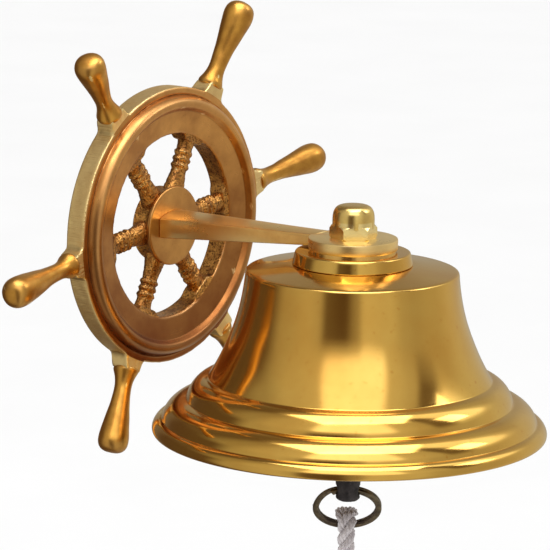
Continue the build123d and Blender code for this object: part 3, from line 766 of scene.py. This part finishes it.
ball = turned(
    "clapper_ball_piece",
    [(3.65, 18.0), (4.6, 17.9), (8.2, 15.9), (12.4, 12.1), (15.2, 7.3), (16.0, 2.0), (15.2, -3.3),
     (12.4, -8.1), (8.6, -11.6), (6.2, -13.0), (4.95, -13.2), (4.9, -12.0), (3.65, -8), (3.65, 12),
     (3.65, 18.0)],
    MOUTH, steps=40,
)  # fmt: skip
soften(ball, 2)
group_of(ball, "skin", lambda p: 1.0 if Vector((p.x - MOUTH.x, p.y - MOUTH.y)).length > 5.2 * MM else 0.0)
roughen(ball, 3.0, 0.4, "skin")
done(ball, black_iron, "black_iron", "clapper", "clapper_ball", angle=60)

# ---------------------------------------------------------------- split ring
# Flat wire wound twice round; the wire steps from one turn to the other at the top left.
wire = bpy.data.curves.new("ring_wire", "CURVE")
flat = bpy.data.curves.new("ring_flat", "CURVE")
flat.dimensions = "2D"
edge = flat.splines.new("NURBS")
WIRE_R, WIRE_GAP = 12.25, 1.22  # the wire's middle, and the step between its turns
FLAT = [
    (-1.2, -0.42), (-1.2, 0.42), (-0.84, 0.58), (0.84, 0.58), (1.2, 0.42), (1.2, -0.42), (0.84, -0.58),
    (-0.84, -0.58),
]  # fmt: skip
edge.points.add(len(FLAT) - 1)
for point, (x, y) in zip(edge.points, FLAT):
    point.co = (x * MM, y * MM, 0, 1)
edge.use_cyclic_u = True
edge.order_u = 3
edge_object = bpy.data.objects.new("ring_flat", flat)
bpy.context.scene.collection.objects.link(edge_object)
wire.dimensions = "3D"
wire.twist_mode = "Z_UP"
turns = wire.splines.new("NURBS")
RING_SWITCH = 150  # where the wire steps over, in degrees
marks_round = list(range(30, 691, 6))
turns.points.add(len(marks_round) - 1)
for point, degrees in zip(turns.points, marks_round):
    rise = min(1.0, max(0.0, (degrees - 330) / 60))
    rise = rise * rise * (3 - 2 * rise)
    a = RAD(degrees + RING_SWITCH)
    height = (rise - 0.5) * WIRE_GAP
    point.co = (WIRE_R * math.cos(a) * MM, WIRE_R * math.sin(a) * MM, height * MM, 1)
turns.order_u = 4
turns.use_endpoint_u = True
turns.resolution_u = 2
wire.bevel_mode = "OBJECT"
wire.bevel_object = edge_object
wire.use_fill_caps = True
ring_curve = bpy.data.objects.new("split_ring_piece", wire)
bpy.context.scene.collection.objects.link(ring_curve)
ring_curve.matrix_world = Matrix.Translation(RING) @ Matrix(
    [PIN_DIR, -DOWN, PIN_DIR.cross(-DOWN)]
).transposed().to_4x4()
take(ring_curve)
bpy.ops.object.convert(target="MESH")
split_ring = settle(close_up(ring_curve))
bpy.data.objects.remove(edge_object)
done(split_ring, ring_steel, "ring_steel", "ring", "split_ring", angle=40)

# ---------------------------------------------------------------- lanyard
# The route of the rope, from the ring's lowest wire, sideways and up.
ROPE_ROUTE = [
    (3.5, -30.0), (3.9, -18.8), (6.5, -8.0), (6.3, 4.9), (-6.3, 4.9), (-6.5, -8.0), (-3.9, -18.8),
    (-3.5, -30.0), (-1.3, -45.0), (0.6, -65.0), (0.0, -86.0), (0.0, -108.0),
]  # fmt: skip
ROPE_R, ROPE_LONG = 3.25, 156.3
KNOT_TOP, KNOT_H, KNOT_R = -108.0, 15.5, 7.8


def hang(v, z, off=0.0):
    """A place on the lanyard: sideways, up, and off towards the pin's direction."""
    return RING_FOOT + (SIDE_DIR * v + UP * z + PIN_DIR * off) * MM


route = bpy.data.curves.new("rope_route", "CURVE")
route.dimensions = "3D"
line = route.splines.new("NURBS")
line.points.add(len(ROPE_ROUTE) - 1)
for point, (v, z) in zip(line.points, ROPE_ROUTE):
    point.co = (*hang(v, z), 1)
line.order_u = 3
line.use_endpoint_u = True
line.resolution_u = 24
route_object = bpy.data.objects.new("rope_route", route)
bpy.context.scene.collection.objects.link(route_object)
bpy.context.view_layer.update()
drawn_line = bpy.data.meshes.new_from_object(route_object)
centre = [drawn_line.vertices[0].co.copy()]
for v in drawn_line.vertices:
    if (v.co - centre[-1]).length > 0.1 * MM:
        centre.append(v.co.copy())
bpy.data.objects.remove(route_object)


def along_line(points, spacing):
    """The same line with points at an even spacing."""
    run, travelled = [points[0]], 0.0
    for a, b in zip(points, points[1:]):
        step = (b - a).length
        while travelled + step >= spacing:
            a = a + (b - a) * ((spacing - travelled) / step)
            run.append(a)
            step = (b - a).length
            travelled = 0.0
        travelled += step
    run.append(points[-1])
    return run


def tube(name, points, radii, sides=10):
    """A closed round tube through points, with its own radius at each."""
    shape = bmesh.new()
    rings, normal = [], None
    for i, p in enumerate(points):
        ahead = (points[min(i + 1, len(points) - 1)] - points[max(i - 1, 0)]).normalized()
        if normal is None:
            normal = ahead.orthogonal().normalized()
        normal = (normal - ahead * normal.dot(ahead)).normalized()
        other = ahead.cross(normal)
        rings.append(
            [
                shape.verts.new(p + (normal * math.cos(t) + other * math.sin(t)) * radii[i])
                for t in (2 * math.pi * k / sides for k in range(sides))
            ]
        )
    for one, two in zip(rings, rings[1:]):
        for k in range(sides):
            shape.faces.new((one[k], one[(k + 1) % sides], two[(k + 1) % sides], two[k]))
    for ring_verts in (rings[0][::-1], rings[-1]):
        shape.faces.new(ring_verts)
    mesh = bpy.data.meshes.new(name)
    shape.to_mesh(mesh)
    shape.free()
    piece = bpy.data.objects.new(name, mesh)
    bpy.context.scene.collection.objects.link(piece)
    return piece


# The strands are laid round the rope's line. Over the ring's wire the rope is pressed flat.
fine = along_line(centre, 0.5 * MM)
STRANDS, LAY = 3, 15.0  # strands, and the length of one turn
frames, normal = [], PIN_DIR.copy()
for i, p in enumerate(fine):
    ahead = (fine[min(i + 1, len(fine) - 1)] - fine[max(i - 1, 0)]).normalized()
    normal = (normal - ahead * normal.dot(ahead)).normalized()
    frames.append((p, normal.copy(), ahead.cross(normal)))
travel = [0.0]
for a, b in zip(fine, fine[1:]):
    travel.append(travel[-1] + (b - a).length / MM)
crown = travel[min(range(len(fine)), key=lambda i: -fine[i].z)]
strands = []
yarn_random = random.Random(7)
YARNS, YARN_LAY, YARN_R = 5, 9.0, 0.72
STRAND_AT, YARN_AT = 1.72, 0.98  # from the rope's middle, and from the strand's
PRESSED_LONG = 6.5  # how far along the rope it is pressed by the wire
for s in range(STRANDS):
    for y in range(YARNS):
        path, radii = [], []
        for (p, sideways, inward), t in zip(frames, travel):
            a = 2 * math.pi * (t / LAY + s / STRANDS)
            b = 2 * math.pi * (-t / YARN_LAY + y / YARNS)
            strand = (math.cos(a) * STRAND_AT, math.sin(a) * STRAND_AT)
            spot = (strand[0] + YARN_AT * math.cos(b), strand[1] + YARN_AT * math.sin(b))
            press = math.exp(-(((t - crown) / PRESSED_LONG) ** 2))  # 1 over the wire
            wide, thick = 1 + 0.5 * press, 1 - 0.42 * press
            wobble = 1 + 0.03 * math.sin(t * 1.7 + s * 2 + y)
            path.append(p + (sideways * spot[0] * wide + inward * spot[1] * thick) * wobble * MM)
            radii.append(YARN_R * MM)
        strands.append(tube(f"yarn_{s}_{y}", path[::2], radii[::2], sides=7))
rope = join("rope_piece", strands)
done(rope, rope_cotton, "cotton_rope", "lanyard", "lanyard_rope", angle=70)

# Seizing: one length of twine wound round both legs of the eye.
TWINE_TURNS, TWINE_R, TURN_STEPS = 9, 0.5, 32
SEIZING_TOP, SEIZING_H = -17.5, 8.0
LEG_AT, TWINE_OUT = 4.1, ROPE_R + 0.45  # each leg's middle, and the twine's distance from it
path = []
for i in range(TWINE_TURNS * TURN_STEPS + 1):
    a = 2 * math.pi * i / TURN_STEPS
    z = SEIZING_TOP - TWINE_R - SEIZING_H * i / (TWINE_TURNS * TURN_STEPS)
    u, w = math.cos(a), math.sin(a)
    flat_part = LEG_AT * max(-1.0, min(1.0, u * 1.6))
    path.append(hang(flat_part + TWINE_OUT * u, z, TWINE_OUT * w))
seizing = tube("seizing_piece", path, [TWINE_R * MM] * len(path), sides=8)
done(seizing, twine, "seizing_twine", "lanyard", "lanyard_seizing", angle=60)

# Knot: strands that cross the knot slantwise, tucked in at its top and bottom.
knots = []
CROSSINGS, KNOT_STEPS = 6, 32
for k in range(CROSSINGS):
    path, radii = [], []
    for i in range(KNOT_STEPS + 1):
        t = i / KNOT_STEPS
        a = 2 * math.pi * (k / CROSSINGS + 0.55 * t)
        swell = math.sin(math.pi * t) ** 0.55 if 0 < t < 1 else 0.0
        radius = 1.6 + (KNOT_R - 1.6 - 2.25) * swell
        height = KNOT_TOP - 1.9 - (KNOT_H - 3.8) * t
        path.append(hang(radius * math.cos(a), height, radius * math.sin(a)))
        radii.append((1.5 + 0.75 * swell) * MM)
    knots.append(tube(f"tuck_{k}", path, radii, sides=12))
core = turned(
    "knot_core",
    [(0, KNOT_TOP), (3.0, KNOT_TOP), (4.6, KNOT_TOP - 3), (5.0, KNOT_TOP - 7.7), (4.6, KNOT_TOP - 12.5),
     (3.2, KNOT_TOP - KNOT_H), (0, KNOT_TOP - KNOT_H)],
    RING_FOOT, steps=32,
)  # fmt: skip
knot = join("knot_piece", [core, *knots])
done(knot, rope_cotton, "cotton_rope", "lanyard", "lanyard_knot", angle=70)

# Tassel: the loosened yarns below the knot, spread evenly over its foot.
hairs = []
HAIRS, HAIR_TURN, TASSEL_R = 42, 2.39996, 5.4
for k in range(HAIRS):
    turn = HAIR_TURN * k
    radius = TASSEL_R * math.sqrt((k + 0.5) / HAIRS)
    sway = yarn_random.uniform(0, 6.28)
    end = -yarn_random.uniform(20.5, 21.6)
    path, radii = [], []
    for i in range(12):
        t = i / 11
        r = radius * (0.45 + 0.62 * t - 0.12 * t * t)
        a = turn + 0.5 * t
        v = r * math.cos(a) + 0.35 * math.sin(5 * t + sway) * t
        w = r * math.sin(a) + 0.35 * math.cos(6 * t + sway) * t
        path.append(hang(v, KNOT_TOP - KNOT_H + 1.5 + (end - 1.5) * t, w))
        radii.append((0.62 - 0.16 * t) * MM)
    hairs.append(tube(f"yarn_end_{k}", path, radii, sides=6))
tassel = join("tassel_piece", hairs)
done(tassel, rope_cotton, "cotton_rope", "lanyard", "lanyard_tassel", angle=70)

# ---------------------------------------------------------------- kept CAD pieces
for name, material in (
    ("crown_washer", bell_brass),
    ("hanger_bolt", hanger_brass),
    ("shackle", link_steel),
    ("shackle_pin", link_steel),
    ("arm_screw", screw_steel),
):
    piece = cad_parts[name]
    for place in piece.material_slots:
        place.material = material

# ---------------------------------------------------------------- studio
FLOOR_BELOW = 1.2  # a wall bell hangs well clear of the floor
floor = primitive("plane", "floor", size=30, location=(0, 0, CAD_LO.z - FLOOR_BELOW))
pale, tree, shader = new_material("pale floor", roughness=0.9, specular_ior_level=0.1)
grain = node(
    tree, "TexNoise", {"Vector": node(tree, "TexCoord").outputs["Object"], "Scale": 3.0, "Detail": 3.0}
)
tree.links.new(
    mixed(tree, grain.outputs[0], (0.86, 0.86, 0.86, 1), (0.9, 0.9, 0.9, 1)), shader.inputs["Base Color"]
)
floor.data.materials.append(pale)
floor.visible_glossy = False

# The camera stands to the left of the bell and a little above it. Angles in degrees.
CAMERA_AT = Vector((-1.1805, -0.9439, 0.2889))
YAW, PITCH, ROLL = -53.16, 11.57, 0.96


def soft_light(name, azimuth, elevation, distance, wide, high, power):
    """A soft light that looks at the bell. Azimuth 0 stands in front of the wall."""
    a, e = RAD(azimuth), RAD(elevation)
    target = MOUTH + UP * 0.03
    back = Vector((math.sin(a) * math.cos(e), -math.cos(a) * math.cos(e), math.sin(e)))
    lamp = bpy.data.lights.new(name, "AREA")
    lamp.shape, lamp.size, lamp.size_y, lamp.energy = "RECTANGLE", wide, high, power
    stand = bpy.data.objects.new(name, lamp)
    bpy.context.scene.collection.objects.link(stand)
    stand.location = target + back * distance
    stand.rotation_euler = (-back).to_track_quat("-Z", "Y").to_euler()


soft_light("overhead", -40, 80, 2.2, 1.9, 1.6, 32)
soft_light("fill", 40, 40, 2.6, 0.8, 0.8, 6)

world = bpy.data.worlds.new("studio")
bpy.context.scene.world = world
world.use_nodes = True
tree = world.node_tree
tree.nodes.clear()
# Polished metal sees a room of soft panels round the bell, and everything else an even white.
direction = node(tree, "SeparateXYZ", {0: node(tree, "TexCoord").outputs["Generated"]})
out_of_wall = maths(tree, "MULTIPLY", direction.outputs["Y"], -1.0)
around = maths(tree, "ARCTAN2", direction.outputs["X"], out_of_wall)
from_front = maths(tree, "ADD", maths(tree, "MULTIPLY", around, 180 / math.pi), -YAW)
turned_round = maths(tree, "FRACT", maths(tree, "DIVIDE", maths(tree, "ADD", from_front, 180.0), 360.0))
DIM, LIGHT, GLARE = (0.12, 0.08, 0.05, 1), (0.76, 0.74, 0.62, 1), (1.9, 1.9, 1.9, 1)
AROUND = [
    (-180, 0.3), (-150, 0.08), (-138, 0.0), (-94, 0.02), (-74, 0.42), (-45, 0.56), (-36, 0.5), (-26, 0.05),
    (-8, 0.0), (4, 0.3), (12, 0.7), (38, 0.62), (56, 0.44), (66, 0.4), (90, 0.46), (120, 0.56), (150, 0.5),
    (179, 0.3),
]  # fmt: skip
ABOVE = [
    (-180, 0.2), (-150, 0.06), (-120, 0.04), (-88, 0.3), (-60, 0.56), (-34, 0.66), (-24, 1.0), (28, 0.96),
    (40, 0.66), (62, 0.5), (70, 0.06), (80, 0.06), (92, 0.86), (120, 0.9), (145, 0.4), (179, 0.2),
]  # fmt: skip


def panels(stops):
    """How bright the room's panels are, all the way round from the camera's side."""
    made = node(tree, "ValToRGB", {0: turned_round})
    ramp = made.color_ramp
    ramp.interpolation = "EASE"
    while len(ramp.elements) < len(stops):
        ramp.elements.new(1.0)
    for stop, (degrees, share) in zip(ramp.elements, stops):
        stop.position = (degrees + 180) / 360
    for stop, (degrees, share) in zip(ramp.elements, stops):
        stop.color = (share, share, share, 1)
    return made.outputs[0]


high = spread(tree, direction.outputs["Z"], 0.32, 0.5)
share = mixed(tree, high, panels(AROUND), panels(ABOVE))
room = mixed(tree, spread(tree, share, 0.0, 0.7), DIM, LIGHT)
room = mixed(tree, spread(tree, share, 0.7, 1.0), room, GLARE)
over = spread(tree, direction.outputs["Z"], 0.88, 0.98)
room = mixed(tree, over, room, (0.62, 0.58, 0.5, 1))
seen = node(tree, "Background", {"Color": (1, 1, 1, 1), "Strength": 1.1})
lit = node(tree, "Background", {"Color": room, "Strength": 1.0})
paths = node(tree, "LightPath")
both = node(tree, "MixShader", {0: paths.outputs["Is Glossy Ray"], 1: seen.outputs[0], 2: lit.outputs[0]})
tree.links.new(both.outputs[0], tree.nodes.new("ShaderNodeOutputWorld").inputs[0])
bpy.context.scene.view_settings.view_transform = "Standard"

lens = bpy.data.cameras.new("camera")
lens.sensor_width, lens.lens = 36.0, 253.7
lens.clip_start, lens.clip_end = 0.05, 60
camera = bpy.data.objects.new("camera", lens)
bpy.context.scene.collection.objects.link(camera)
camera.matrix_world = (
    Matrix.Translation(CAMERA_AT)
    @ Matrix.Rotation(RAD(YAW), 4, "Z")
    @ Matrix.Rotation(RAD(90 - PITCH), 4, "X")
    @ Matrix.Rotation(RAD(ROLL), 4, "Z")
)
bpy.context.scene.camera = camera
